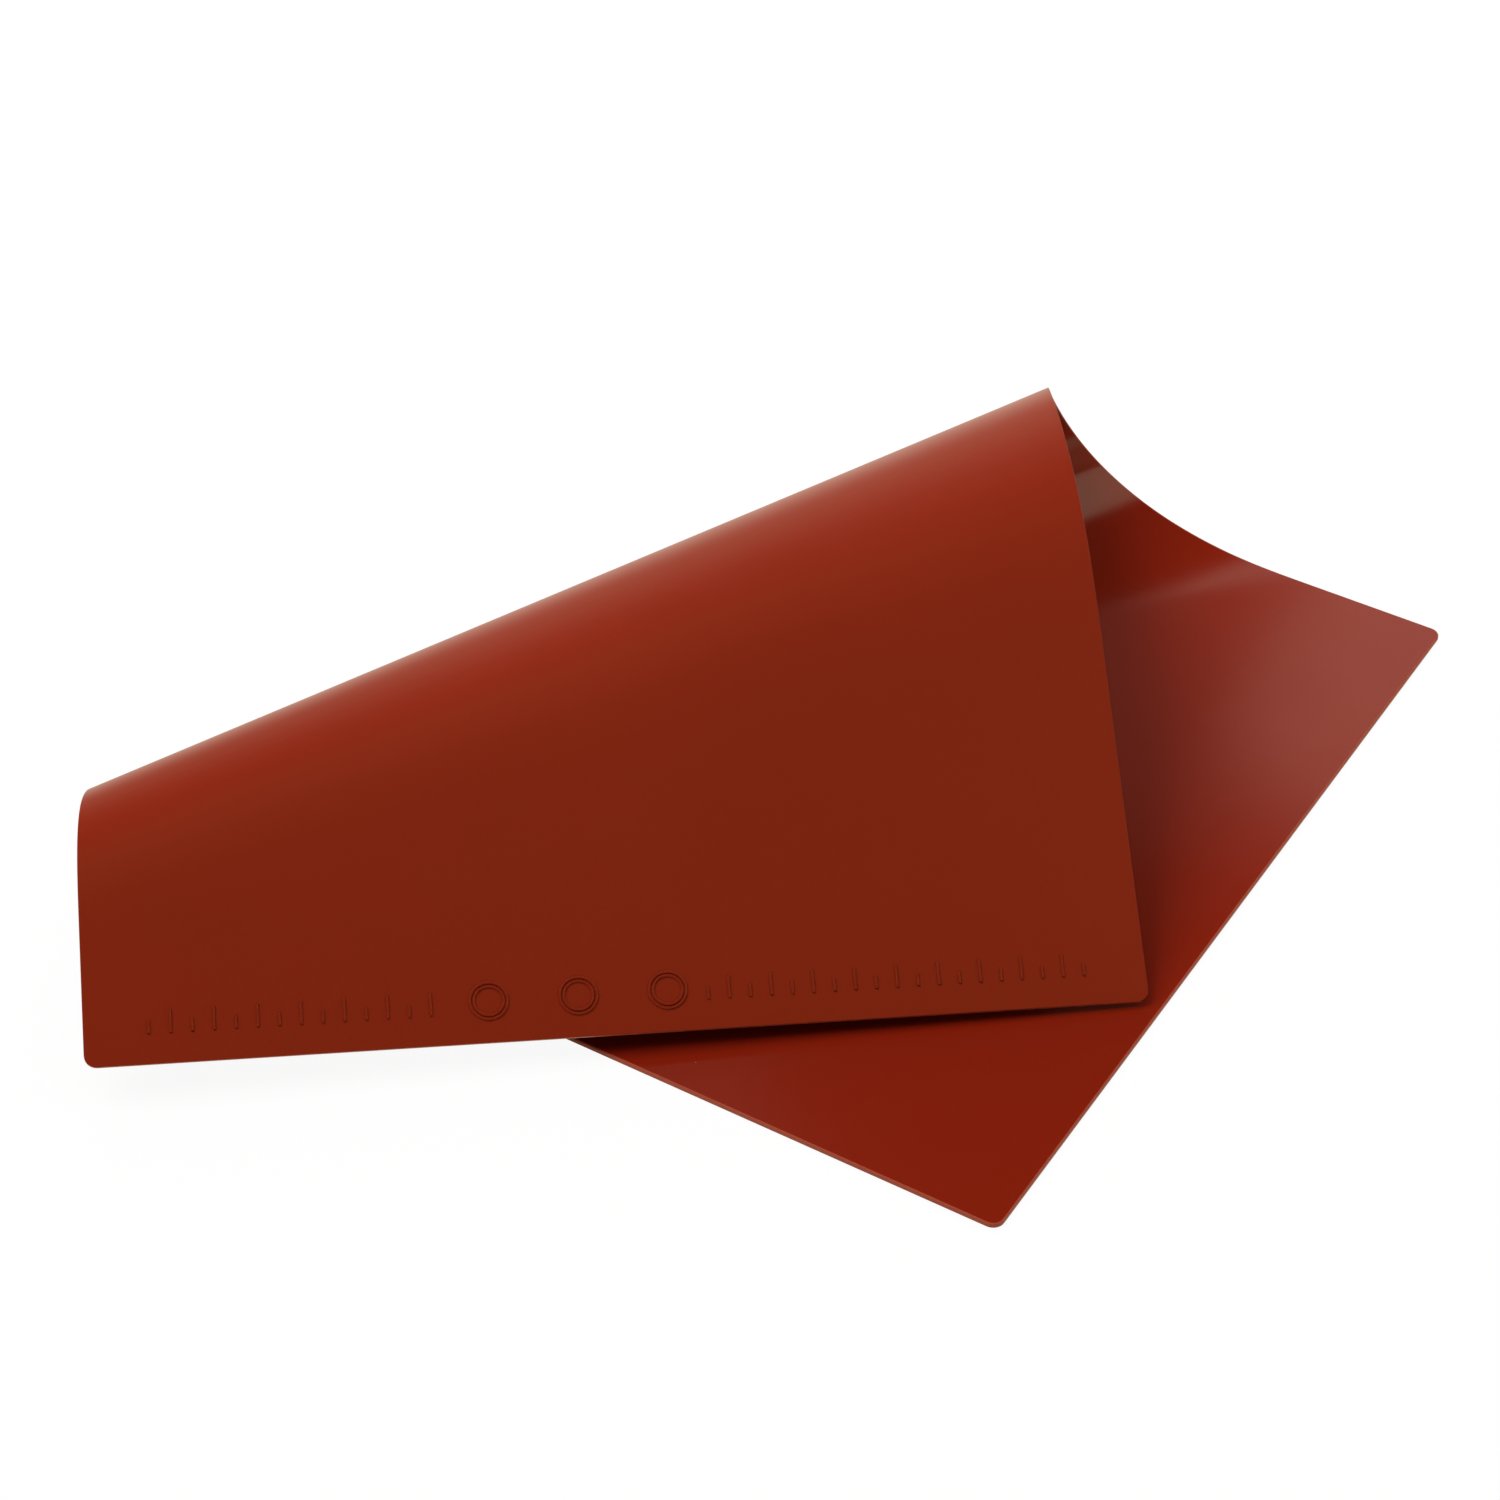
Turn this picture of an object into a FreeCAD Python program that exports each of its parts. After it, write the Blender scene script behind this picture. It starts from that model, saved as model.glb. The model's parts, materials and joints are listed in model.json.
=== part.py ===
"""Flexible moulded baking mat, lying folded over on itself.

One silicone sheet in three stretches: a flat base, a slanting bend and a flap that comes down on the base.
The bend is divided along straight rulings into narrow strips, which turn against each other as it opens.
Each strip is a piece of a circular cone, so the sheet curves without being stretched.
Every piece is made on the flat sheet, with the inner face up, and then carried to its place in the fold.
Lengths are in millimetres and angles in degrees.
"""
import FreeCAD
import Part
import math
import os

# Sheet, measured flat: near and far are its two long edges
mat_length = 350.0
mat_width = 250.0
mat_thickness = 1.2
corner_radius = 3.0
rim_radius = 0.4

# Bend: how much of each long edge it takes up, and how far its middle lies past the middle of that edge
bend_width_near = 102.1
bend_width_far = 197.3
bend_offset_near = 88.9
bend_offset_far = -26.3

# Strips of the bend, all of one turn: the narrowest is at its tight crown, counted from the base
strip_count = 10
crown_strip = 4

# How much wider than that one a strip is, for each squared step away from it, towards the base and the flap
base_widening = 0.21
flap_widening = 0.09

# Rest: the flap's lowest corner stays this far above the base
rest_clearance = 0.3

# How far a trimming block reaches past what it trims
trim_overrun = 10.0

# Whole turn of the bend, open and shut, between which the flap is let down by halving
open_turn = 90.0
shut_turn = 270.0
settling_steps = 40

Vector = FreeCAD.Vector
up = Vector(0, 0, 1)
arc_middle_share = 1 - math.sqrt(0.5)

# Where the bend starts and ends along each long edge, from the base's short edge
bend_start_near = mat_length / 2 + bend_offset_near - bend_width_near / 2
bend_start_far = mat_length / 2 + bend_offset_far - bend_width_far / 2
bend_end_near = bend_start_near + bend_width_near
bend_end_far = bend_start_far + bend_width_far

# The rulings fan out from one apex beyond the near edge, where the bend's width would shrink to nothing
apex_across = -mat_width * bend_width_near / (bend_width_far - bend_width_near)
apex_along = bend_start_near + (bend_start_far - bend_start_near) * apex_across / mat_width
apex = Vector(apex_across, apex_along, mat_thickness / 2)

# The part's origin is the middle of the base, on its underside
rest_point = Vector(mat_width / 2, (bend_start_near + bend_start_far) / 4, 0)


def ruling_angle(near_along):
    """Angle of the ruling that crosses the near edge at this distance from the base's short edge."""
    return math.degrees(math.atan2(near_along - apex_along, -apex_across))


def ruling_direction(angle):
    """Unit vector along a ruling of the flat sheet, away from the apex."""
    return Vector(math.cos(math.radians(angle)), math.sin(math.radians(angle)), 0)


def ruling_point(angle, across):
    """Point of a ruling on the underside of the flat sheet, at this distance from the near edge."""
    rise = math.tan(math.radians(angle))
    return Vector(across, apex_along + (across - apex_across) * rise, 0)


def strip_bounds():
    """Ruling angles between the strips, from the base to the flap."""
    widths = []
    for number in range(1, strip_count + 1):
        widening = base_widening if number < crown_strip else flap_widening
        widths.append(1 + widening * (number - crown_strip) ** 2)
    first = ruling_angle(bend_start_near)
    fan = ruling_angle(bend_end_near) - first
    angles = [first]
    for width in widths:
        angles.append(angles[-1] + fan * width / sum(widths))
    return angles


bounds = strip_bounds()


def cone_axis(start, end, strip_turn, rotation):
    """Axis of a strip's cone, through the apex. Its length is the roll about it for each degree of the fan."""
    return rotation.multVec(up + ruling_direction(start) * (strip_turn / (end - start)))


def fold_rotation(angle, strip_turn):
    """Turn about the apex that carries the flat sheet, at one ruling, to its place in the fold."""
    rotation = FreeCAD.Rotation()
    for start, end in zip(bounds, bounds[1:]):
        swept = min(angle, end) - start
        if swept <= 0:
            break
        axis = cone_axis(start, end, strip_turn, rotation)
        rotation = FreeCAD.Rotation(axis, swept * axis.Length) * rotation * FreeCAD.Rotation(up, -swept)
    return rotation


def corner_height(strip_turn):
    """Height of the flap's lowest corner, on the face that looks down on the base."""
    rotation = fold_rotation(bounds[-1], strip_turn)
    corners = [Vector(across, mat_length, mat_thickness) for across in (0, mat_width)]
    return min((apex + rotation.multVec(corner - apex)).z for corner in corners)


def settled_turn():
    """Turn of one strip that lets the flap down until its corner is just above the base."""
    opened = open_turn / strip_count
    shut = shut_turn / strip_count
    for _ in range(settling_steps):
        middle = (opened + shut) / 2
        if corner_height(middle) > mat_thickness + rest_clearance:
            opened = middle
        else:
            shut = middle
    return opened


strip_turn = settled_turn()


def fold_place(angle):
    """Place in the fold of what lies at one ruling of the flat sheet."""
    return FreeCAD.Placement(Vector(), fold_rotation(angle, strip_turn), apex)


def folded(shape, angle):
    """The shape, made on the flat sheet, carried to its place in the fold at one ruling."""
    shape.Placement = fold_place(angle)
    return shape


def line(start, end):
    return Part.LineSegment(start, end).toShape()


def arc(start, middle, end):
    return Part.Arc(start, middle, end).toShape()


def rounded_rim(piece, angle):
    """The piece with the rim of its inner face rounded. It lies in the fold's place at one ruling."""
    flatten = fold_place(angle).inverse()
    rims = []
    for edge in piece.Edges:
        first, last = (flatten.multVec(edge.valueAt(end)) for end in edge.ParameterRange)
        middle = flatten.multVec(edge.valueAt(sum(edge.ParameterRange) / 2))
        is_level = abs(first.z - last.z) < mat_thickness / 2
        is_inner = middle.z > mat_thickness / 2
        is_ruling = abs(first.x - last.x) > mat_width - corner_radius
        if is_level and is_inner and not is_ruling:
            rims.append(edge)
    return piece.makeFillet(rim_radius, rims)


def flat_panel(near_along, far_along, short_edge):
    """Flat end of the sheet between one ruling and one short edge, with rounded corners."""
    inward = math.copysign(corner_radius, near_along - short_edge)
    near_corner = (
        Vector(0, short_edge + inward, 0),
        Vector(corner_radius * arc_middle_share, short_edge + inward * arc_middle_share, 0),
        Vector(corner_radius, short_edge, 0),
    )
    far_corner = [Vector(mat_width - point.x, point.y, 0) for point in reversed(near_corner)]
    near_end = Vector(0, near_along, 0)
    far_end = Vector(mat_width, far_along, 0)
    outline = [
        line(near_end, near_corner[0]),
        arc(*near_corner),
        line(near_corner[-1], far_corner[0]),
        arc(*far_corner),
        line(far_corner[-1], far_end),
        line(far_end, near_end),
    ]
    slab = Part.Face(Part.Wire(outline)).extrude(up * mat_thickness)
    return rounded_rim(slab, bounds[0])


def bend_strip(start, end):
    """Strip of the bend: the section along its first ruling, rolled about the cone and trimmed to the sheet."""
    near = ruling_point(start, -trim_overrun)
    far = ruling_point(start, mat_width + trim_overrun)
    corners = (near, far, far + up * mat_thickness, near + up * mat_thickness, near)
    section = folded(Part.Face(Part.makePolygon(corners)), start)
    axis = cone_axis(start, end, strip_turn, fold_rotation(start, strip_turn))
    rolled = section.revolve(apex, axis, (end - start) * axis.Length)

    lowest = ruling_point(start, mat_width).y - trim_overrun
    highest = ruling_point(end, 0).y + trim_overrun
    depth = mat_thickness + trim_overrun * 2
    block = Part.makeBox(mat_width, highest - lowest, depth, Vector(0, lowest, -trim_overrun))
    middle = (start + end) / 2
    trimmed = rolled.common(folded(block, middle))
    return rounded_rim(trimmed, middle)


nodes = {"base_panel": flat_panel(bend_start_near, bend_start_far, 0)}
for number, (start, end) in enumerate(zip(bounds, bounds[1:]), 1):
    nodes[f"bend_strip_{number:02d}"] = bend_strip(start, end)
nodes["flap_panel"] = folded(flat_panel(bend_end_near, bend_end_far, mat_length), bounds[-1])

os.makedirs("parts", exist_ok=True)
for name, shape in nodes.items():
    shape.translate(-rest_point)
    shape.exportStep(f"parts/{name}.step")
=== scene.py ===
"""Folded silicone baking mat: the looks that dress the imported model, and the studio it is shown in.

The sheet is gridded flat, with rows that run from its near edge to its far edge.
Each row is carried to its place in the fold by the turn of the ruling that it lies on.
Pieces of the sheet meet halfway between the frame's hinges, and each bends across one of them.
Lengths are in metres and angles in radians.
"""
import json
import math

import bpy
import numpy as np
from mathutils import Matrix, Vector


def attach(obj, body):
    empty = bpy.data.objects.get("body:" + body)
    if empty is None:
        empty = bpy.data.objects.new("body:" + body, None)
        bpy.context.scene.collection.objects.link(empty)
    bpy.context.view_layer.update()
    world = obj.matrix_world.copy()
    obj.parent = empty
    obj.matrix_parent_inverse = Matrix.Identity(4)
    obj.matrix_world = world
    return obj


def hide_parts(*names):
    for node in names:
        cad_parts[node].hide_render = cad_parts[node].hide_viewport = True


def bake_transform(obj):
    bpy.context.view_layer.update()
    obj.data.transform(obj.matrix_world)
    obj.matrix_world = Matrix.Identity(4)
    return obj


bl_info = {
    "name": "Folded baking mat",
    "version": (1, 0, 0),
    "blender": (4, 5, 0),
    "location": "3D View > Sidebar > Baking mat",
    "description": "Dresses a folded silicone baking mat and sets up its studio",
    "category": "Object",
}

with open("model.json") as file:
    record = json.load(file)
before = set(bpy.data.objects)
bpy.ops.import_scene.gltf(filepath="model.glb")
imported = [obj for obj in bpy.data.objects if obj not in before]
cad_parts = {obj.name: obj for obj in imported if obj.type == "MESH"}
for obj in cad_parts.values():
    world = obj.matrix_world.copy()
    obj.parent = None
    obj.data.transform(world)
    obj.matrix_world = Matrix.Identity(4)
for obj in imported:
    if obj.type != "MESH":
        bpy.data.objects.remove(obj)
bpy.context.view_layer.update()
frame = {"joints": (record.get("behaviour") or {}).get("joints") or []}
hinges = sorted(frame["joints"], key=lambda joint: joint["name"])
strip_turn = math.radians(hinges[1]["range_deg"][1])

# Steps of the grid: round a rim, over a corner, over a half strip of the bend, along a panel and across
# the sheet. The last is the number of even steps in which the fold is rolled up.
RIM_STEPS = 4
CORNER_STEPS = 4
HALF_STRIP_STEPS = 7
PANEL_STEPS = 24
ACROSS_STEPS = 32
FOLD_STEPS = 600

# Faces of the sheet, in the order of their material slots
INNER, OUTER, EDGE = range(3)

UP = Vector((0, 0, 1))

# UV map with each point's place on the flat sheet, in metres
FLAT_MAP = "flat_sheet"

# How far the first and last pieces start to turn on their flat side of the hinge, in half strips
FLAT_MARGIN = 0.5

# Refraction of silicone, and the lowest, cloudy and grainy parts of its shade
SILICONE_IOR = 1.43
SHADE_LOW = 0.94
CLOUD_SHADE = 0.08
GRAIN_SHADE = 0.04

# Waves in a metre of the silicone's clouds, grain, smudges and ripple
CLOUD_SCALE = 14.0
GRAIN_SCALE = 900.0
SMUDGE_SCALE = 60.0
RIPPLE_SCALE = 9.0

# Octaves of the noise: as a rule, in the grain and in the ripple
NOISE_DETAIL = 2.0
GRAIN_DETAIL = 3.0
RIPPLE_DETAIL = 1.0

# How much smudges and dust change the roughness
SMUDGE_ROUGHNESS = 0.06
DUST_ROUGHNESS = 0.2

# Dust: cells in a metre, size of a speck in its cell, share of cells with a speck, and how much it covers
DUST_SCALE = 130.0
DUST_SIZE = 0.028
DUST_SHARE = 0.05
DUST_COVER = 0.6

# Raised marks: double rings, points of a ring, number of the first tick from either long edge, and steps
# along a line and round it
RING_COUNT = 3
RING_POINTS = 4
TICK_MARGIN = 3
MARK_STEPS = 10
MARK_ROUNDING = 2

# Lamps of the studio, those of them that show in reflections, and what is set for each
LAMPS = ("top", "key", "rear", "left", "panel", "dim", "side")
MIRRORED_LAMPS = ("left", "panel", "dim", "side")
LAMP_SETTINGS = ("bearing", "elevation", "distance", "size", "level")

WHITE = (1, 1, 1, 1)


class MatSizes(bpy.types.PropertyGroup):
    """Sizes of the mat, as the frame has them, and of what is moulded on it."""

    length: bpy.props.FloatProperty(
        name="Length", description="Long side of the flat mat", default=0.350, unit="LENGTH"
    )
    width: bpy.props.FloatProperty(
        name="Width", description="Short side of the flat mat", default=0.250, unit="LENGTH"
    )
    thickness: bpy.props.FloatProperty(
        name="Thickness", description="Thickness of the sheet", default=0.0012, unit="LENGTH"
    )
    corner_radius: bpy.props.FloatProperty(
        name="Corner radius", description="Rounding of the mat's four corners", default=0.003, unit="LENGTH"
    )
    inner_rim: bpy.props.FloatProperty(
        name="Inner rim", description="Rounding of the glossy face's rim", default=0.0004, unit="LENGTH"
    )
    outer_rim: bpy.props.FloatProperty(
        name="Outer rim", description="Rounding of the matte face's rim", default=0.00012, unit="LENGTH"
    )
    bend_start_near: bpy.props.FloatProperty(
        name="Bend start, near", description="Where the bend starts on the near edge",
        default=0.21285, unit="LENGTH",
    )
    bend_start_far: bpy.props.FloatProperty(
        name="Bend start, far", description="Where the bend starts on the far edge",
        default=0.05005, unit="LENGTH",
    )
    bend_end_near: bpy.props.FloatProperty(
        name="Bend end, near", description="Where the bend ends on the near edge",
        default=0.31495, unit="LENGTH",
    )
    bend_end_far: bpy.props.FloatProperty(
        name="Bend end, far", description="Where the bend ends on the far edge",
        default=0.24735, unit="LENGTH",
    )
    crown_strip: bpy.props.IntProperty(
        name="Crown strip", description="Number of the narrowest strip of the bend, from the base", default=4
    )
    base_widening: bpy.props.FloatProperty(
        name="Widening to base",
        description="Extra width of a strip for each squared step from the crown to the base",
        default=0.21,
    )
    flap_widening: bpy.props.FloatProperty(
        name="Widening to flap",
        description="Extra width of a strip for each squared step from the crown to the flap",
        default=0.09,
    )
    easing: bpy.props.FloatProperty(
        name="Easing", description="Share of a strip over which its curve passes into the next",
        default=0.36, subtype="FACTOR",
    )
    lap: bpy.props.FloatProperty(
        name="Lap", description="How far a piece of the sheet runs on inside the next one",
        default=0.0003, unit="LENGTH",
    )
    lap_inset: bpy.props.FloatProperty(
        name="Lap inset", description="How far a lap lies under the faces of the next piece",
        default=0.00003, unit="LENGTH",
    )
    mark_inset: bpy.props.FloatProperty(
        name="Mark inset", description="From the short edge to the middle of the marks",
        default=0.010, unit="LENGTH",
    )
    mark_width: bpy.props.FloatProperty(
        name="Mark width", description="Width of a raised line", default=0.0007, unit="LENGTH"
    )
    mark_height: bpy.props.FloatProperty(
        name="Mark height", description="Height of a raised line", default=0.00045, unit="LENGTH"
    )
    ring_diameter: bpy.props.FloatProperty(
        name="Ring diameter", description="Middle of the larger line of a double ring",
        default=0.0088, unit="LENGTH",
    )
    ring_gap: bpy.props.FloatProperty(
        name="Ring gap", description="Between the two lines of a double ring", default=0.0009, unit="LENGTH"
    )
    ring_pitch: bpy.props.FloatProperty(
        name="Ring pitch", description="Between the middles of two double rings", default=0.021, unit="LENGTH"
    )
    first_ring: bpy.props.FloatProperty(
        name="First ring", description="From the near edge to the first double ring",
        default=0.0935, unit="LENGTH",
    )
    tick_pitch: bpy.props.FloatProperty(
        name="Tick pitch", description="Between two ticks of the scale", default=0.005, unit="LENGTH"
    )
    long_tick: bpy.props.FloatProperty(
        name="Long tick", description="Length of every other tick", default=0.0055, unit="LENGTH"
    )
    short_tick: bpy.props.FloatProperty(
        name="Short tick", description="Length of the ticks between", default=0.003, unit="LENGTH"
    )


class MatFinish(bpy.types.PropertyGroup):
    """Colours, gloss and relief of the silicone."""

    outer_colour: bpy.props.FloatVectorProperty(
        name="Matte face", description="Colour of the matte face",
        default=(0.204, 0.0136, 0.0042), subtype="COLOR",
    )
    inner_colour: bpy.props.FloatVectorProperty(
        name="Glossy face", description="Colour of the glossy face",
        default=(0.194, 0.0106, 0.0026), subtype="COLOR",
    )
    # The edge's colour is paler than the silicone's: a painted highlight along the rim, on the side wall and
    # on the rounding of the glossy face
    edge_highlight_colour: bpy.props.FloatVectorProperty(
        name="Edge", description="Colour of the thin rim, which light passes",
        default=(0.33, 0.062, 0.036), subtype="COLOR",
    )
    speck_colour: bpy.props.FloatVectorProperty(
        name="Specks", description="Colour of the dust on the sheet",
        default=(0.34, 0.12, 0.08), subtype="COLOR",
    )
    outer_tint: bpy.props.FloatVectorProperty(
        name="Matte sheen", description="Tint of the reflections on the matte face and the edge",
        default=(1.0, 0.9, 0.3), subtype="COLOR",
    )
    inner_tint: bpy.props.FloatVectorProperty(
        name="Glossy sheen", description="Tint of the reflections on the glossy face",
        default=(1.0, 0.92, 0.66), subtype="COLOR",
    )
    outer_roughness: bpy.props.FloatProperty(
        name="Matte roughness", description="Roughness of the matte face", default=0.3, subtype="FACTOR"
    )
    inner_roughness: bpy.props.FloatProperty(
        name="Gloss roughness", description="Roughness of the glossy face", default=0.14, subtype="FACTOR"
    )
    edge_roughness: bpy.props.FloatProperty(
        name="Edge roughness", description="Roughness of the sheet's edge", default=0.4, subtype="FACTOR"
    )
    outer_gloss: bpy.props.FloatProperty(
        name="Matte gloss", description="How much the matte face and the edge reflect",
        default=0.23, subtype="FACTOR",
    )
    inner_gloss: bpy.props.FloatProperty(
        name="Gloss", description="How much the glossy face reflects", default=0.4, subtype="FACTOR"
    )
    outer_grain: bpy.props.FloatProperty(
        name="Matte grain", description="Height of the matte face's grain", default=0.000004, unit="LENGTH"
    )
    inner_grain: bpy.props.FloatProperty(
        name="Glossy grain", description="Height of the glossy face's grain", default=0.0000004, unit="LENGTH"
    )
    edge_grain: bpy.props.FloatProperty(
        name="Edge grain", description="Height of the edge's grain", default=0.000003, unit="LENGTH"
    )
    outer_ripple: bpy.props.FloatProperty(
        name="Matte ripple", description="Height of the matte face's soft unevenness",
        default=0.00003, unit="LENGTH",
    )
    inner_ripple: bpy.props.FloatProperty(
        name="Glossy ripple", description="Height of the glossy face's soft unevenness",
        default=0.00006, unit="LENGTH",
    )
    edge_ripple: bpy.props.FloatProperty(
        name="Edge ripple", description="Height of the edge's soft unevenness", default=0.0, unit="LENGTH"
    )


class MatStudio(bpy.types.PropertyGroup):
    """Camera, floor and light round the mat."""

    azimuth: bpy.props.FloatProperty(
        name="Azimuth", description="Camera's bearing", default=math.radians(-59.502), subtype="ANGLE"
    )
    elevation: bpy.props.FloatProperty(
        name="Elevation", description="Camera's height as an angle",
        default=math.radians(40.730), subtype="ANGLE",
    )
    roll: bpy.props.FloatProperty(
        name="Roll", description="Camera's tilt in its own frame",
        default=math.radians(0.887), subtype="ANGLE",
    )
    distance: bpy.props.FloatProperty(
        name="Distance", description="From the camera to its target", default=0.97524, unit="LENGTH"
    )
    target: bpy.props.FloatVectorProperty(
        name="Target", description="Point in the middle of the view",
        default=(-0.01271, 0.06679, 0.0), subtype="XYZ",
    )
    lens: bpy.props.FloatProperty(
        name="Lens", description="Focal length on a 36 mm sensor, in millimetres", default=91.20
    )
    floor_colour: bpy.props.FloatVectorProperty(
        name="Floor", description="Colour of the floor", default=(0.86, 0.86, 0.86), subtype="COLOR"
    )
    floor_size: bpy.props.FloatProperty(
        name="Floor size", description="Side of the floor", default=12.0, unit="LENGTH"
    )
    plain_share: bpy.props.FloatProperty(
        name="Plain share", description="How much of the floor's look is plain and takes no shadow",
        default=0.93, subtype="FACTOR",
    )
    top_bearing: bpy.props.FloatProperty(
        name="Overhead light, bearing", description="From the view to the right",
        default=math.radians(0), subtype="ANGLE",
    )
    top_elevation: bpy.props.FloatProperty(
        name="Overhead light, elevation", description="Height as an angle",
        default=math.radians(88), subtype="ANGLE",
    )
    top_distance: bpy.props.FloatProperty(
        name="Overhead light, distance", description="From the mat to the overhead light",
        default=1.3, unit="LENGTH",
    )
    top_size: bpy.props.FloatVectorProperty(
        name="Overhead light, size", description="Width and height", default=(1.3, 1.3), size=2, unit="LENGTH"
    )
    top_level: bpy.props.FloatProperty(
        name="Overhead light, level", description="Brightness of its face", default=1.1
    )
    key_bearing: bpy.props.FloatProperty(
        name="Key light, bearing", description="From the view to the right",
        default=math.radians(-90), subtype="ANGLE",
    )
    key_elevation: bpy.props.FloatProperty(
        name="Key light, elevation", description="Height as an angle",
        default=math.radians(56), subtype="ANGLE",
    )
    key_distance: bpy.props.FloatProperty(
        name="Key light, distance", description="From the mat to the key light", default=2.2, unit="LENGTH"
    )
    key_size: bpy.props.FloatVectorProperty(
        name="Key light, size", description="Width and height", default=(1.4, 1.2), size=2, unit="LENGTH"
    )
    key_level: bpy.props.FloatProperty(
        name="Key light, level", description="Brightness of its face", default=6.05
    )
    rear_bearing: bpy.props.FloatProperty(
        name="Rear light, bearing", description="From the view to the right",
        default=math.radians(-12), subtype="ANGLE",
    )
    rear_elevation: bpy.props.FloatProperty(
        name="Rear light, elevation", description="Height as an angle",
        default=math.radians(24), subtype="ANGLE",
    )
    rear_distance: bpy.props.FloatProperty(
        name="Rear light, distance", description="From the mat to the rear light", default=1.1, unit="LENGTH"
    )
    rear_size: bpy.props.FloatVectorProperty(
        name="Rear light, size", description="Width and height", default=(0.7, 0.4), size=2, unit="LENGTH"
    )
    rear_level: bpy.props.FloatProperty(
        name="Rear light, level", description="Brightness of its face", default=10.0
    )
    left_bearing: bpy.props.FloatProperty(
        name="Left panel, bearing", description="From the view to the right",
        default=math.radians(-24), subtype="ANGLE",
    )
    left_elevation: bpy.props.FloatProperty(
        name="Left panel, elevation", description="Height as an angle",
        default=math.radians(60), subtype="ANGLE",
    )
    left_distance: bpy.props.FloatProperty(
        name="Left panel, distance", description="From the mat to the left panel", default=1.1, unit="LENGTH"
    )
    left_size: bpy.props.FloatVectorProperty(
        name="Left panel, size", description="Width and height", default=(0.5, 0.4), size=2, unit="LENGTH"
    )
    left_level: bpy.props.FloatProperty(
        name="Left panel, level", description="Brightness of its face", default=0.45
    )
    panel_bearing: bpy.props.FloatProperty(
        name="White panel, bearing", description="From the view to the right",
        default=math.radians(43.5), subtype="ANGLE",
    )
    panel_elevation: bpy.props.FloatProperty(
        name="White panel, elevation", description="Height as an angle",
        default=math.radians(36.5), subtype="ANGLE",
    )
    panel_distance: bpy.props.FloatProperty(
        name="White panel, distance", description="From the mat to the white panel",
        default=0.9, unit="LENGTH",
    )
    panel_size: bpy.props.FloatVectorProperty(
        name="White panel, size", description="Width and height", default=(0.78, 0.22), size=2, unit="LENGTH"
    )
    panel_level: bpy.props.FloatProperty(
        name="White panel, level", description="Brightness of its face", default=1.2
    )
    dim_bearing: bpy.props.FloatProperty(
        name="Dim panel, bearing", description="From the view to the right",
        default=math.radians(11), subtype="ANGLE",
    )
    dim_elevation: bpy.props.FloatProperty(
        name="Dim panel, elevation", description="Height as an angle",
        default=math.radians(36), subtype="ANGLE",
    )
    dim_distance: bpy.props.FloatProperty(
        name="Dim panel, distance", description="From the mat to the dim panel", default=0.9, unit="LENGTH"
    )
    dim_size: bpy.props.FloatVectorProperty(
        name="Dim panel, size", description="Width and height", default=(0.28, 0.2), size=2, unit="LENGTH"
    )
    dim_level: bpy.props.FloatProperty(
        name="Dim panel, level", description="Brightness of its face", default=0.2
    )
    side_bearing: bpy.props.FloatProperty(
        name="Side light, bearing", description="From the view to the right",
        default=math.radians(100), subtype="ANGLE",
    )
    side_elevation: bpy.props.FloatProperty(
        name="Side light, elevation", description="Height as an angle",
        default=math.radians(46), subtype="ANGLE",
    )
    side_distance: bpy.props.FloatProperty(
        name="Side light, distance", description="From the mat to the side light", default=0.9, unit="LENGTH"
    )
    side_size: bpy.props.FloatVectorProperty(
        name="Side light, size", description="Width and height", default=(0.35, 0.52), size=2, unit="LENGTH"
    )
    side_level: bpy.props.FloatProperty(
        name="Side light, level", description="Brightness of its face", default=2.0
    )
    mirrored_colour: bpy.props.FloatVectorProperty(
        name="Mirrored room", description="Colour of the floor in reflections, and of the backdrop",
        default=(1.0, 0.92, 0.72), subtype="COLOR",
    )
    sweep_low: bpy.props.FloatProperty(
        name="Sweep, low", description="Brightness of the backdrop near the horizon", default=0.56
    )
    sweep_high: bpy.props.FloatProperty(
        name="Sweep, high", description="Brightness of the ceiling", default=0.045
    )
    sweep_top: bpy.props.FloatProperty(
        name="Sweep, top", description="Elevation where the backdrop ends",
        default=math.radians(25), subtype="ANGLE",
    )
    sweep_fade: bpy.props.FloatProperty(
        name="Sweep, fade", description="Angle over which it fades", default=math.radians(14), subtype="ANGLE"
    )


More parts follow.
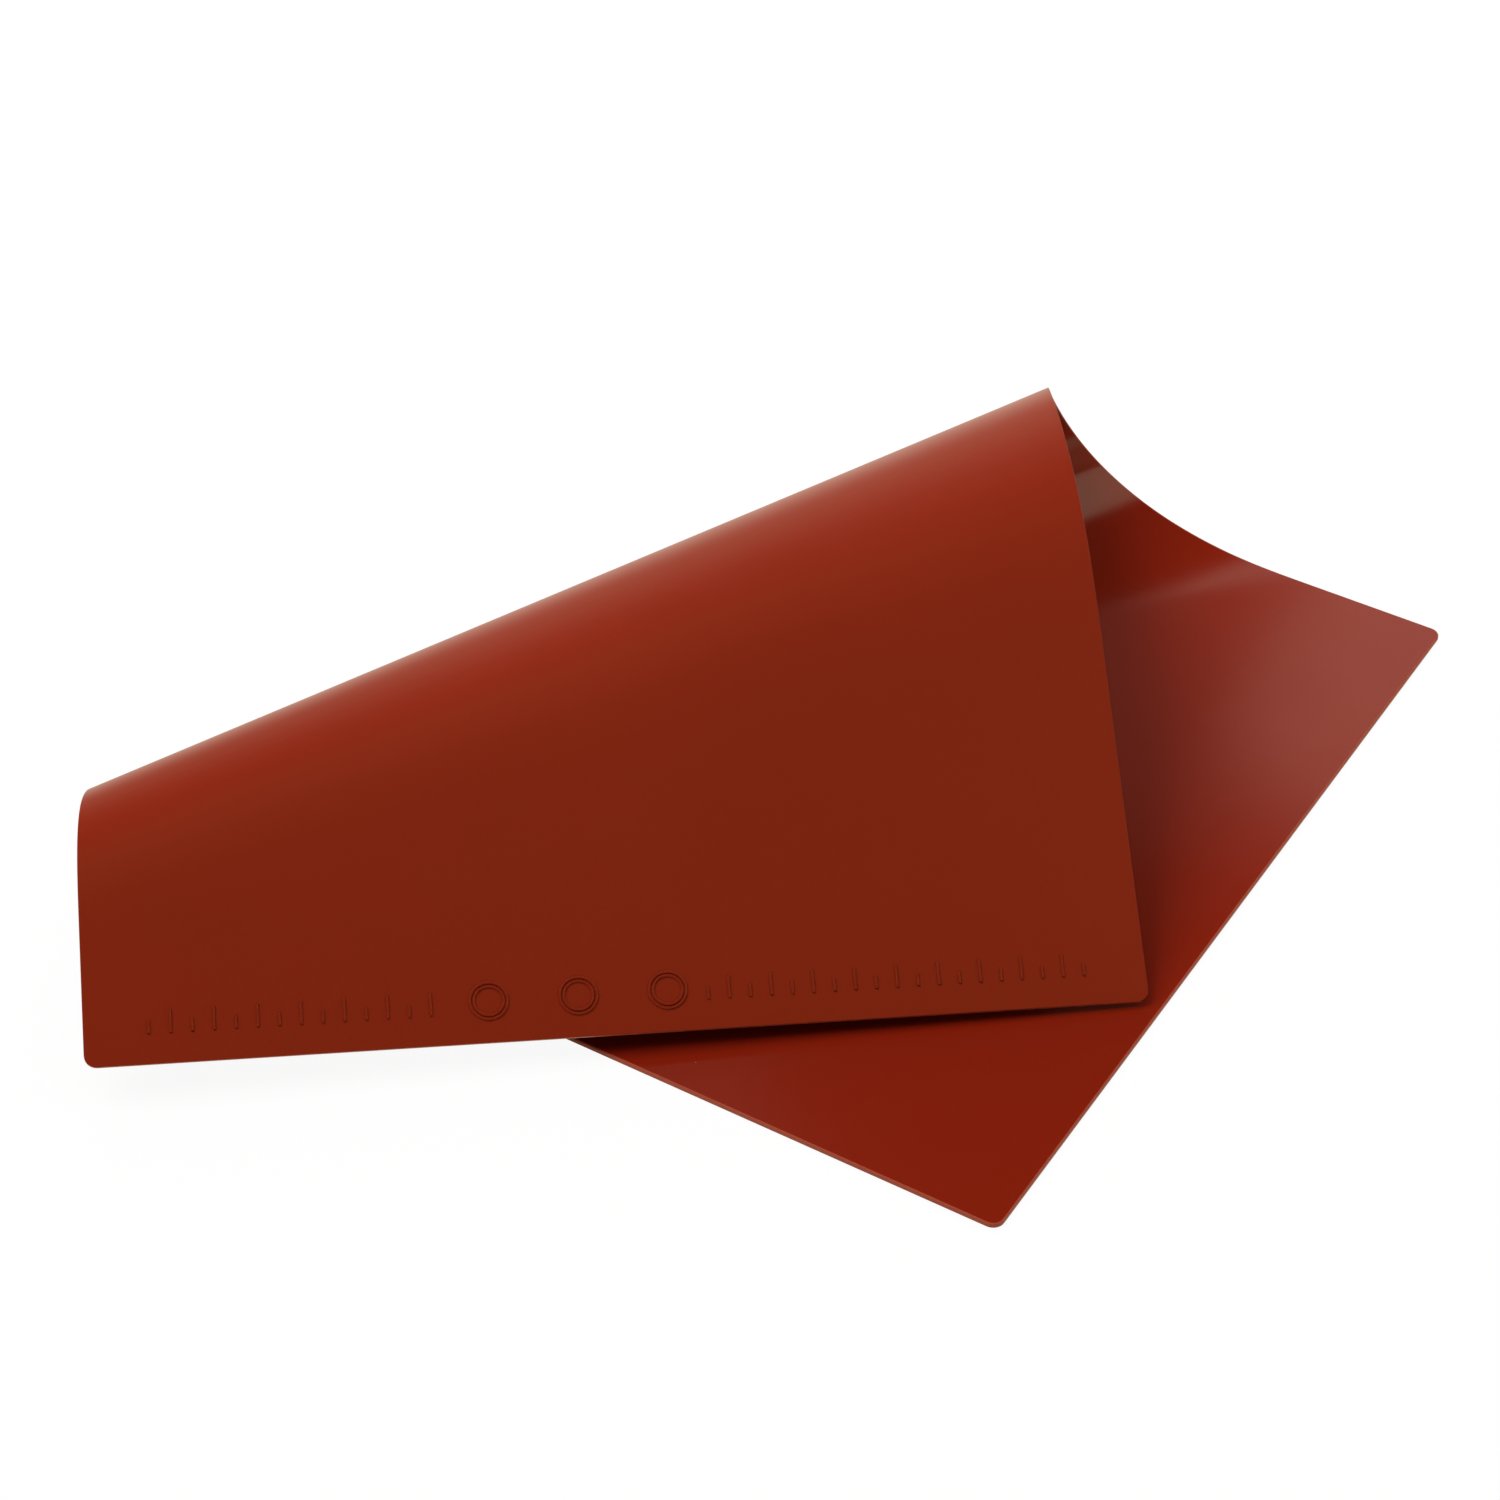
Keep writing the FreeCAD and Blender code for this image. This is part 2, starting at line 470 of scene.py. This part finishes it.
class Fold:
    """The fan of rulings on the flat sheet, and the turn that the sheet has made at each in the fold."""

    def __init__(self, sizes):
        near = sizes.bend_end_near - sizes.bend_start_near
        far = sizes.bend_end_far - sizes.bend_start_far
        slant = (sizes.bend_start_far - sizes.bend_start_near) / sizes.width
        apex_across = -sizes.width * near / (far - near)
        self.width = sizes.width
        self.apex = Vector((apex_across, sizes.bend_start_near + slant * apex_across, sizes.thickness / 2))
        self.origin = Vector((sizes.width / 2, (sizes.bend_start_near + sizes.bend_start_far) / 4, 0))

        from_crown = np.arange(1, len(hinges)) - sizes.crown_strip
        widths = 1 + np.where(from_crown < 0, sizes.base_widening, sizes.flap_widening) * from_crown ** 2
        first = self.ruling(sizes.bend_start_near)
        fan = self.ruling(sizes.bend_end_near) - first
        self.bounds = first + fan * np.concatenate([[0], np.cumsum(widths)]) / widths.sum()
        self.middles = (self.bounds[:-1] + self.bounds[1:]) / 2

        # The curve is even along a strip, and eases into the next over a part of the narrower of the two
        widths = np.diff(self.bounds)
        self.jumps = np.diff(np.concatenate([[0], strip_turn / widths, [0]]))
        self.ease = sizes.easing * np.minimum(np.append(widths[0], widths), np.append(widths, widths[-1]))
        self.start = self.bounds[0] - self.ease[0]
        self.end = self.bounds[-1] + self.ease[-1]
        self.steps = np.linspace(self.start, self.end, FOLD_STEPS + 1)
        self.turns = [Matrix.Identity(3)]
        for start, end in zip(self.steps, self.steps[1:]):
            self.turns.append(self.rolled(self.turns[-1], start, end))

    def ruling(self, near):
        """Angle of the ruling that crosses the near edge at this distance from the base's short edge."""
        return math.atan2(near - self.apex.y, -self.apex.x)

    def ends(self, angle):
        """Where a ruling crosses the near edge and the far edge."""
        rise = math.tan(angle)
        return self.apex.y - self.apex.x * rise, self.apex.y + (self.width - self.apex.x) * rise

    def bent(self, angle):
        """How far the sheet has bent from the base up to one ruling."""
        past = angle - self.bounds
        eased = np.clip(past + self.ease, 0, 2 * self.ease) ** 2 / (4 * self.ease)
        return float(self.jumps @ (eased + np.maximum(past - self.ease, 0)))

    def rolled(self, turned, start, end):
        """The turn at one ruling, rolled on over the cone that leads to another."""
        ruling = Vector((math.cos(start), math.sin(start), 0))
        axis = turned @ (UP + ruling * ((self.bent(end) - self.bent(start)) / (end - start)))
        roll = Matrix.Rotation((end - start) * axis.length, 3, axis)
        return roll @ turned @ Matrix.Rotation(start - end, 3, UP)

    def turn(self, angle):
        """Turn about the apex that carries the flat sheet, at one ruling, to its place in the fold."""
        number = int(np.searchsorted(self.steps, angle, side="right")) - 1
        if number < 0:
            return self.turns[0]
        if number >= FOLD_STEPS or angle == self.steps[number]:
            return self.turns[min(number, FOLD_STEPS)]
        return self.rolled(self.turns[number], self.steps[number], angle)

    def place(self, angle):
        """The same as a matrix from the flat sheet to the model's frame."""
        about_apex = self.turn(angle).to_4x4() @ Matrix.Translation(-self.apex)
        return Matrix.Translation(self.apex - self.origin) @ about_apex

    def onward(self, angle):
        """Direction in the folded sheet, square to a ruling, from the base towards the flap."""
        return self.turn(angle) @ Vector((-math.sin(angle), math.cos(angle), 0))

    def reach(self, angle):
        """Distance from the apex to the middle of a ruling."""
        return (self.width / 2 - self.apex.x) / math.cos(angle)

    def half_strip(self, number):
        """Distance from the middle of a strip to its hinges, halfway along its ruling."""
        middle = self.middles[number]
        return self.reach(middle) * math.tan(self.bounds[number + 1] - middle)


class Rows:
    """Rows of the grid: where each crosses the long edges, its ruling, and how far its section is shrunk."""

    def __init__(self):
        self.near = []
        self.far = []
        self.angles = []
        self.insets = []

    def add(self, near, far, angle, inset=0.0):
        """One row."""
        self.near.append(near)
        self.far.append(far)
        self.angles.append(angle)
        self.insets.append(inset)

    def add_rulings(self, fold, start, end):
        """Rulings between two angles, without the one at the start if the row before it is already there."""
        for angle in np.linspace(start, end, HALF_STRIP_STEPS + 1)[1 if self.angles else 0:]:
            self.add(*fold.ends(angle), angle)

    def add_lap(self, fold, angle, sizes):
        """A lap past the cut end, which hides in the next piece and shows no gap when the fold opens."""
        past = angle + sizes.lap / fold.reach(angle)
        for ruling in (angle, past):
            self.add(*fold.ends(ruling), ruling, sizes.lap_inset)


def edge_insets(sizes):
    """Distances in from the outline where the grid has a line: round the rim, then over the corner."""
    quarter = np.linspace(0, math.pi / 2, RIM_STEPS + 1)
    rim = sizes.inner_rim * (1 - np.cos(quarter))
    corner = np.linspace(sizes.inner_rim, sizes.corner_radius, CORNER_STEPS + 1)
    return np.concatenate([rim, corner[1:]])


def across_lines(sizes):
    """Distances from the near edge where the grid has a line."""
    insets = edge_insets(sizes)
    middle = np.linspace(insets[-1], sizes.width - insets[-1], ACROSS_STEPS + 1)
    return np.concatenate([insets, middle[1:-1], sizes.width - insets[::-1]])


def base_rows(sizes, fold):
    """Rows of the flat base, from its short edge to the bend."""
    rows = Rows()
    insets = edge_insets(sizes)
    for inset in insets:
        rows.add(inset, inset, fold.start)
    bend_near, bend_far = fold.ends(fold.start)
    for share in np.linspace(0, 1, PANEL_STEPS + 1)[1:]:
        near = insets[-1] + (bend_near - insets[-1]) * share
        far = insets[-1] + (bend_far - insets[-1]) * share
        rows.add(near, far, fold.start)
    return rows


def add_flap_rows(rows, sizes, fold):
    """Rows of the flat flap, from the bend to its short edge."""
    insets = edge_insets(sizes)
    last = sizes.length - insets[-1]
    bend_near, bend_far = fold.ends(fold.end)
    for share in np.linspace(0, 1, PANEL_STEPS + 1)[1:]:
        rows.add(bend_near + (last - bend_near) * share, bend_far + (last - bend_far) * share, fold.end)
    for inset in insets[-2::-1]:
        rows.add(sizes.length - inset, sizes.length - inset, fold.end)


def piece_rows(number, sizes, fold):
    """Rows of the piece that bends across one hinge, from the middle of a strip to the middle of the next."""
    is_first = number == 0
    is_last = number == len(hinges) - 1
    rows = base_rows(sizes, fold) if is_first else Rows()
    rows.add_rulings(fold, fold.start if is_first else fold.middles[number - 1], fold.bounds[number])
    rows.add_rulings(fold, fold.bounds[number], fold.end if is_last else fold.middles[number])
    if is_last:
        add_flap_rows(rows, sizes, fold)
    else:
        rows.add_lap(fold, fold.middles[number], sizes)
    return rows


def rounded_rim(inset, radius):
    """Drop of a rounded rim from its face, and its normal's lean out and rise, at insets from the outline."""
    lean = np.clip(1 - inset / radius, 0, 1)
    rise = np.sqrt(1 - lean ** 2)
    return radius * (1 - rise), lean, rise


def flat_faces(rows, sizes):
    """Points and normals of a piece's two faces on the flat sheet, and how far in each point is."""
    across = across_lines(sizes)[None, :]
    share = across / sizes.width
    along = np.array(rows.near)[:, None] * (1 - share) + np.array(rows.far)[:, None] * share
    shrunk = np.broadcast_to(np.array(rows.insets)[:, None], along.shape)
    across = np.clip(np.broadcast_to(across, along.shape), shrunk, sizes.width - shrunk)

    # The rounded outline lies one corner radius out from a smaller rectangle
    radius = sizes.corner_radius
    core_across = np.clip(across, radius, sizes.width - radius)
    core_along = np.clip(along, radius, sizes.length - radius)
    out = np.stack([across - core_across, along - core_along], -1)
    reach = np.abs(out).max(-1)
    size = np.hypot(out[..., 0], out[..., 1])
    out = out / np.where(size > 0, size, 1)[..., None]
    flat = np.stack([core_across, core_along], -1) + out * reach[..., None]
    inset = radius - reach

    faces = []
    for rim, top, facing in ((sizes.inner_rim, sizes.thickness, 1), (sizes.outer_rim, 0, -1)):
        drop, lean, rise = rounded_rim(inset, rim)
        points = np.concatenate([flat, (top - facing * (drop + shrunk))[..., None]], -1)
        normals = np.concatenate([out * lean[..., None], (facing * rise)[..., None]], -1)
        faces.append((points, normals))
    return faces, inset


def strip_between(upper, lower):
    """Quads between two runs of vertices."""
    return np.stack([upper[:-1], upper[1:], lower[1:], lower[:-1]], -1)


def sheet_mesh(name, rows, sizes, fold, open_start, open_end):
    """Closed mesh of one piece of the sheet, cut square at an open start or end, where another carries on."""
    faces, inset = flat_faces(rows, sizes)
    turns = np.array([fold.turn(angle) for angle in rows.angles])
    apex, origin = np.array(fold.apex), np.array(fold.origin)
    points = [np.einsum("rij,rcj->rci", turns, flat - apex) + apex - origin for flat, _ in faces]
    normals = [np.einsum("rij,rcj->rci", turns, flat) for _, flat in faces]

    count = points[0].shape[0] * points[0].shape[1]
    inner = np.arange(count).reshape(points[0].shape[:2])
    outer = inner + count
    quads = [
        (np.concatenate([strip_between(a, b) for a, b in zip(inner[1:], inner)])[:, ::-1], INNER, True),
        (np.concatenate([strip_between(a, b) for a, b in zip(outer[1:], outer)]), OUTER, True),
        (strip_between(inner[:, 0], outer[:, 0]), EDGE, True),
        (strip_between(inner[::-1, -1], outer[::-1, -1]), EDGE, True),
        (strip_between(inner[0, ::-1], outer[0, ::-1]), EDGE, not open_start),
        (strip_between(inner[-1], outer[-1]), EDGE, not open_end),
    ]
    mesh = bpy.data.meshes.new(name)
    corners = np.concatenate([made for made, _, _ in quads])
    mesh.from_pydata(np.concatenate([face.reshape(-1, 3) for face in points]), [], corners.tolist())
    sides = np.concatenate([np.full(len(made), side) for made, side, _ in quads])
    smooth = np.concatenate([np.full(len(made), is_smooth) for made, _, is_smooth in quads])

    # The rounding of the glossy face's rim, whose quads come first, takes the edge's pale colour: a painted
    # highlight along the rim
    rounding = inset.ravel()[quads[0][0]].mean(1) < sizes.inner_rim
    sides[: len(rounding)][rounding] = EDGE
    mesh.polygons.foreach_set("material_index", sides.astype(np.int32))
    mesh.polygons.foreach_set("use_smooth", smooth)

    flat = np.concatenate([face[..., :2].reshape(-1, 2) for face, _ in faces])
    flat_map = mesh.uv_layers.new(name=FLAT_MAP)
    flat_map.uv.foreach_set("vector", flat[corners.ravel()].astype(np.float32).ravel())

    # A cut end keeps its own flat normals, which a zero stands for
    facing = np.concatenate([face.reshape(-1, 3) for face in normals])[corners]
    facing[~smooth] = 0
    mesh.normals_split_custom_set(facing.reshape(-1, 3))
    return mesh


def bend_span(number, fold):
    """Points on either side of a hinge, between which a piece would turn from one body to the next.

    A sheet that opens evenly has made a quarter of the turn at one end of its piece, and three quarters at
    the other. The first and last pieces are still flat on one side, and have made half of the turn at their
    cut end, one half strip from the hinge and in the middle of their span.
    """
    hinge = Vector(hinges[number]["pos_m"])
    onward = fold.onward(fold.bounds[number])
    end_span = np.array([FLAT_MARGIN, 2 + FLAT_MARGIN])
    if number == 0:
        before, after = end_span * fold.half_strip(number)
    elif number == len(hinges) - 1:
        after, before = end_span * fold.half_strip(number - 1)
    else:
        # A turn that eases in and out is a quarter made this share of its span before its middle
        quarter = math.sin(math.asin(0.5) / 3)
        behind, ahead = fold.half_strip(number - 1), fold.half_strip(number)
        margin = (behind + ahead) * (0.5 - quarter) / (2 * quarter)
        before, after = behind + margin, ahead + margin
    return hinge - onward * before, hinge + onward * after


class Wire:
    """An output of a shader node. Sums on wires add Math nodes, and node() adds a node of any other kind."""

    def __init__(self, tree, socket=None):
        self.tree = tree
        self.socket = socket

    def node(self, kind, settings=None, sockets=None, output=0):
        """Adds a node, sets it up, feeds its sockets with values or wires, and returns one of its outputs."""
        made = self.tree.nodes.new(kind)
        for name, value in (settings or {}).items():
            setattr(made, name, value)
        for key, value in (sockets or {}).items():
            if isinstance(value, Wire):
                self.tree.links.new(value.socket, made.inputs[key])
            else:
                made.inputs[key].default_value = value
        return Wire(self.tree, made.outputs[output] if made.outputs else None)

    def math(self, operation, *values):
        """Adds a Math node and returns its output."""
        return self.node("ShaderNodeMath", {"operation": operation}, dict(enumerate(values)))

    def __add__(self, other):
        return self.math("ADD", self, other)

    __radd__ = __add__

    def __mul__(self, other):
        return self.math("MULTIPLY", self, other)


def new_tree(owner):
    """The node tree of a material or a world, emptied, as a wire to start from."""
    owner.use_nodes = True
    owner.node_tree.nodes.clear()
    return Wire(owner.node_tree)


def noise(start, place, scale, detail=NOISE_DETAIL):
    """Smooth noise between 0 and 1 over the flat sheet, with this many waves in a metre."""
    return start.node("ShaderNodeTexNoise", None, {"Vector": place, "Scale": scale, "Detail": detail})


def specks(start, place):
    """Mask of specks of dust, each smaller than its cell, on a small share of the cells."""
    sockets = {"Vector": place, "Scale": DUST_SCALE}
    near = start.node("ShaderNodeTexVoronoi", None, sockets, "Distance")
    chance = start.node("ShaderNodeTexVoronoi", None, sockets, "Color")
    return start.math("LESS_THAN", near, DUST_SIZE) * start.math("LESS_THAN", chance, DUST_SHARE)


def mix_colours(start, share, first, second):
    """The first colour, with this share of the second. A Mix node has its colours at these places."""
    return start.node("ShaderNodeMix", {"data_type": "RGBA"}, {0: share, 6: first, 7: second}, 2)


def silicone(name, colour, speck_colour, tint, roughness, gloss, grain, ripple):
    """Opaque silicone: slightly uneven colour, a few specks of dust, a moulded grain and soft unevenness."""
    material = bpy.data.materials.new(name)
    start = new_tree(material)
    place = start.node("ShaderNodeUVMap", {"uv_map": FLAT_MAP})
    cloud = noise(start, place, CLOUD_SCALE)
    fine = noise(start, place, GRAIN_SCALE, GRAIN_DETAIL)
    shade = SHADE_LOW + cloud * CLOUD_SHADE + fine * GRAIN_SHADE
    tone = start.node("ShaderNodeVectorMath", {"operation": "SCALE"}, {0: tuple(colour), "Scale": shade})
    dust = specks(start, place)
    mixed = mix_colours(start, dust * DUST_COVER, tone, (*speck_colour, 1))
    smudge = noise(start, place, SMUDGE_SCALE) * SMUDGE_ROUGHNESS
    rough = roughness - SMUDGE_ROUGHNESS / 2 + smudge + dust * DUST_ROUGHNESS
    height = fine * grain + noise(start, place, RIPPLE_SCALE, RIPPLE_DETAIL) * ripple
    bump = start.node("ShaderNodeBump", None, {"Height": height, "Distance": 1.0, "Strength": 1.0})
    shader = start.node(
        "ShaderNodeBsdfPrincipled",
        None,
        {
            "Base Color": mixed,
            "Roughness": rough,
            "Normal": bump,
            "IOR": SILICONE_IOR,
            "Specular IOR Level": gloss,
            "Specular Tint": (*tint, 1),
        },
    )
    start.node("ShaderNodeOutputMaterial", None, {"Surface": shader})
    return material


def sheet_materials(finish):
    """Materials of the sheet's faces, in the order of its material slots."""
    return [
        silicone(
            "silicone_glossy", finish.inner_colour, finish.speck_colour, finish.inner_tint,
            finish.inner_roughness, finish.inner_gloss, finish.inner_grain, finish.inner_ripple,
        ),
        silicone(
            "silicone_matte", finish.outer_colour, finish.speck_colour, finish.outer_tint,
            finish.outer_roughness, finish.outer_gloss, finish.outer_grain, finish.outer_ripple,
        ),
        # The edge's pale colour is a painted highlight along the rim
        silicone(
            "silicone_edge", finish.edge_highlight_colour, finish.speck_colour, finish.outer_tint,
            finish.edge_roughness, finish.outer_gloss, finish.edge_grain, finish.edge_ripple,
        ),
    ]


def link(name, data):
    """A new object in the scene."""
    made = bpy.data.objects.new(name, data)
    bpy.context.scene.collection.objects.link(made)
    return made


class MAT_OT_lay_sheet(bpy.types.Operator):
    """Make the folded sheet, one piece for each hinge of the frame"""

    bl_idname = "baking_mat.lay_sheet"
    bl_label = "Lay sheet"

    def execute(self, context):
        sizes = context.scene.mat_sizes
        fold = Fold(sizes)
        materials = sheet_materials(context.scene.mat_finish)
        nodes = ["base_panel"]
        nodes += [f"bend_strip_{number:02d}" for number in range(1, len(hinges))]
        nodes += ["flap_panel"]
        for number, hinge in enumerate(hinges):
            is_first = number == 0
            is_last = number == len(hinges) - 1
            name = "sheet_base" if is_first else "sheet_flap" if is_last else f"sheet_bend_{number:02d}"
            rows = piece_rows(number, sizes, fold)
            piece = link(name, sheet_mesh(name, rows, sizes, fold, not is_first, not is_last))
            for material in materials:
                piece.data.materials.append(material)
            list(bend_span(number, fold))
            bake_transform(piece)
            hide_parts(nodes[number], nodes[number + 1])
        return {"FINISHED"}


def add_ring(curve, middle, radius):
    """A closed round line."""
    spline = curve.splines.new("BEZIER")
    spline.bezier_points.add(RING_POINTS - 1)
    for number, point in enumerate(spline.bezier_points):
        angle = math.tau / RING_POINTS * number
        point.co = middle + Vector((math.cos(angle), math.sin(angle), 0)) * radius
        point.handle_left_type = point.handle_right_type = "AUTO"
    spline.use_cyclic_u = True


def add_line(curve, start, end):
    """A straight line."""
    spline = curve.splines.new("POLY")
    spline.points.add(1)
    for point, place in zip(spline.points, (start, end)):
        point.co = (*place, 1)


class MAT_OT_raise_marks(bpy.types.Operator):
    """Make the raised lines along the flap's short edge: plain double rings between two plain scales"""

    bl_idname = "baking_mat.raise_marks"
    bl_label = "Raise marks"

    def execute(self, context):
        sizes = context.scene.mat_sizes
        curve = bpy.data.curves.new("flap_marks", "CURVE")
        curve.dimensions = "3D"
        curve.bevel_depth = sizes.mark_width / 2
        curve.bevel_resolution = MARK_ROUNDING
        curve.resolution_u = MARK_STEPS
        curve.use_fill_caps = True
        depth = sizes.mark_width / 2 - sizes.mark_height
        line_along = sizes.length - sizes.mark_inset
        ring_ends = []
        for number in range(RING_COUNT):
            middle = Vector((sizes.first_ring + sizes.ring_pitch * number, line_along, depth))
            radius = sizes.ring_diameter / 2
            add_ring(curve, middle, radius)
            add_ring(curve, middle, radius - sizes.ring_gap)
            ring_ends += [middle.x - radius, middle.x + radius]
        tick_count = round(sizes.width / sizes.tick_pitch)
        for number in range(TICK_MARGIN, tick_count - TICK_MARGIN + 1):
            across = number * sizes.tick_pitch
            if ring_ends[0] - sizes.tick_pitch < across < ring_ends[-1] + sizes.tick_pitch:
                continue
            size = sizes.short_tick if number % 2 else sizes.long_tick
            foot = Vector((across, line_along + sizes.long_tick / 2, depth))
            add_line(curve, foot, foot - Vector((0, size, 0)))
        marks = link("flap_marks", curve)
        fold = Fold(sizes)
        marks.matrix_world = fold.place(fold.end)
        curve.materials.append(bpy.data.materials["silicone_matte"])
        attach(marks, hinges[-1]["child"])
        return {"FINISHED"}


def floor_material(studio):
    """Pale floor that looks white to the camera and warm in reflections, and still takes the mat's shadow."""
    material = bpy.data.materials.new("pale_floor")
    start = new_tree(material)
    pale = start.node("ShaderNodeBsdfDiffuse", None, {"Color": (*studio.floor_colour, 1)})
    is_mirrored = start.node("ShaderNodeLightPath", None, None, "Is Glossy Ray")
    colour = mix_colours(start, is_mirrored, WHITE, (*studio.mirrored_colour, 1))
    bright = start.node("ShaderNodeEmission", None, {"Color": colour, "Strength": 1.0})
    seen = 0.0
    for ray in ("Camera", "Glossy", "Transmission"):
        is_ray = start.node("ShaderNodeLightPath", None, None, f"Is {ray} Ray")
        seen = start.math("MAXIMUM", is_ray, seen)
    plain = seen * studio.plain_share
    mixed = start.node("ShaderNodeMixShader", None, {0: plain, 1: pale, 2: bright})
    start.node("ShaderNodeOutputMaterial", None, {"Surface": mixed})
    return material


def light_world(world, studio):
    """Light from the room: a bright backdrop near the horizon and a dim ceiling."""
    start = new_tree(world)
    direction = start.node("ShaderNodeTexCoord", None, None, "Generated")
    height = start.node("ShaderNodeSeparateXYZ", None, {0: direction}, "Z")
    backdrop = start.node(
        "ShaderNodeMapRange",
        {"interpolation_type": "SMOOTHSTEP"},
        {
            "Value": start.math("ARCSINE", height),
            "From Min": studio.sweep_top - studio.sweep_fade / 2,
            "From Max": studio.sweep_top + studio.sweep_fade / 2,
            "To Min": studio.sweep_low,
            "To Max": studio.sweep_high,
        },
    )
    back = start.node(
        "ShaderNodeBackground", None, {"Color": (*studio.mirrored_colour, 1), "Strength": backdrop}
    )
    start.node("ShaderNodeOutputWorld", None, {"Surface": back})


def towards(azimuth, elevation):
    """Direction out from the mat. Azimuth 0 is towards -Y and a quarter turn is towards +X."""
    level = Vector((math.sin(azimuth), -math.cos(azimuth), 0))
    return level * math.cos(elevation) + UP * math.sin(elevation)


def add_softbox(name, azimuth, elevation, distance, size, level, is_mirrored):
    """Lamp with an even face, turned to the mat, which may show in reflections."""
    lamp = bpy.data.lights.new(name, "AREA")
    lamp.shape = "RECTANGLE"
    lamp.size, lamp.size_y = size
    lamp.energy = level * math.pi * lamp.size * lamp.size_y
    out = towards(azimuth, elevation)
    facing = (-out).to_track_quat("-Z", "Y").to_matrix().to_4x4()
    made = link(name, lamp)
    made.matrix_world = Matrix.Translation(out * distance) @ facing
    made.visible_glossy = is_mirrored


class MAT_OT_set_studio(bpy.types.Operator):
    """Make the camera, the floor and the light"""

    bl_idname = "baking_mat.set_studio"
    bl_label = "Set studio"

    def execute(self, context):
        studio = context.scene.mat_studio
        context.scene.view_settings.view_transform = "Standard"

        camera = link("camera", bpy.data.cameras.new("camera"))
        camera.data.lens = studio.lens
        back = towards(studio.azimuth, studio.elevation)
        facing = (-back).to_track_quat("-Z", "Y").to_matrix()
        tilted = facing @ Matrix.Rotation(studio.roll, 3, UP)
        place = Vector(studio.target) + back * studio.distance
        camera.matrix_world = Matrix.Translation(place) @ tilted.to_4x4()
        context.scene.camera = camera

        half = studio.floor_size / 2
        corners = [(-half, -half, 0), (half, -half, 0), (half, half, 0), (-half, half, 0)]
        ground = bpy.data.meshes.new("floor")
        ground.from_pydata(corners, [], [(0, 1, 2, 3)])
        ground.materials.append(floor_material(studio))
        link("floor", ground)

        for name in LAMPS:
            bearing, elevation, distance, size, level = (
                getattr(studio, f"{name}_{setting}") for setting in LAMP_SETTINGS
            )
            azimuth = studio.azimuth + math.pi - bearing
            add_softbox(name, azimuth, elevation, distance, size, level, name in MIRRORED_LAMPS)

        context.scene.world = bpy.data.worlds.new("studio")
        light_world(context.scene.world, studio)
        return {"FINISHED"}


class MAT_PT_panel(bpy.types.Panel):
    """Sizes, finish and studio of the baking mat, with what makes them"""

    bl_label = "Baking mat"
    bl_idname = "MAT_PT_panel"
    bl_space_type = "VIEW_3D"
    bl_region_type = "UI"
    bl_category = "Baking mat"

    def draw(self, context):
        for made in operators:
            self.layout.operator(made.bl_idname)
        for settings in (context.scene.mat_sizes, context.scene.mat_finish, context.scene.mat_studio):
            column = self.layout.column()
            for name in settings.__annotations__:
                column.prop(settings, name)


settings_groups = {"mat_sizes": MatSizes, "mat_finish": MatFinish, "mat_studio": MatStudio}
operators = (MAT_OT_lay_sheet, MAT_OT_raise_marks, MAT_OT_set_studio)


def register():
    for made in (*settings_groups.values(), *operators, MAT_PT_panel):
        bpy.utils.register_class(made)
    for name, group in settings_groups.items():
        setattr(bpy.types.Scene, name, bpy.props.PointerProperty(type=group))


def unregister():
    for name in settings_groups:
        delattr(bpy.types.Scene, name)
    for made in (MAT_PT_panel, *reversed(operators), *reversed(settings_groups.values())):
        bpy.utils.unregister_class(made)


def main():
    register()
    bpy.ops.baking_mat.lay_sheet()
    bpy.ops.baking_mat.raise_marks()
    bpy.ops.baking_mat.set_studio()


if __name__ == "__main__":
    main()
